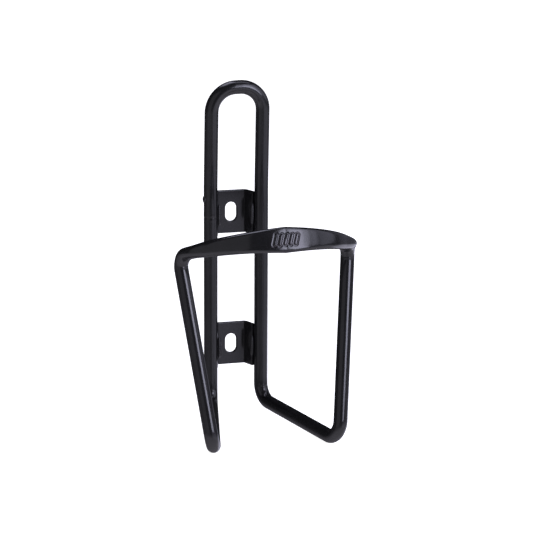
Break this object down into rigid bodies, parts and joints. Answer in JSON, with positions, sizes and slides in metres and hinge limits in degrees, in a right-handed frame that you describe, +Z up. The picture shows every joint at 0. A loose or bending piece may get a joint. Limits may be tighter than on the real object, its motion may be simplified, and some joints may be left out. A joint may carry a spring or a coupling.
{
  "type": "bicycle water bottle cage",
  "caption": "Bent tube bicycle bottle cage with an upright rear loop, sloping front band and two slotted mounting brackets.",
  "frame": {"origin": "bottom centre of the whole cage's box, on the surface it stands on: the lowest point of the front foot corners is at Z = 0", "axes": "+Z up along the two upright legs, +Y back towards the bicycle frame (out of the brackets' mounting faces), -Y the front band's side, +X to the right seen from the front"},
  "size_m": [0.0856, 0.0878, 0.1619],
  "materials": {
    "black_coat": "satin black powder coat over aluminium",
    "bare_alloy": "bare turned alloy"
  },
  "bodies": {
    "root": {"cage_tube": "black_coat", "joint_plug": "bare_alloy", "joint_pin": "black_coat", "upper_bracket": "black_coat", "lower_bracket": "black_coat", "weld_upper_left": "black_coat", "weld_upper_right": "black_coat", "weld_lower_left": "black_coat", "weld_lower_right": "black_coat"}
  },
  "joints": []
}
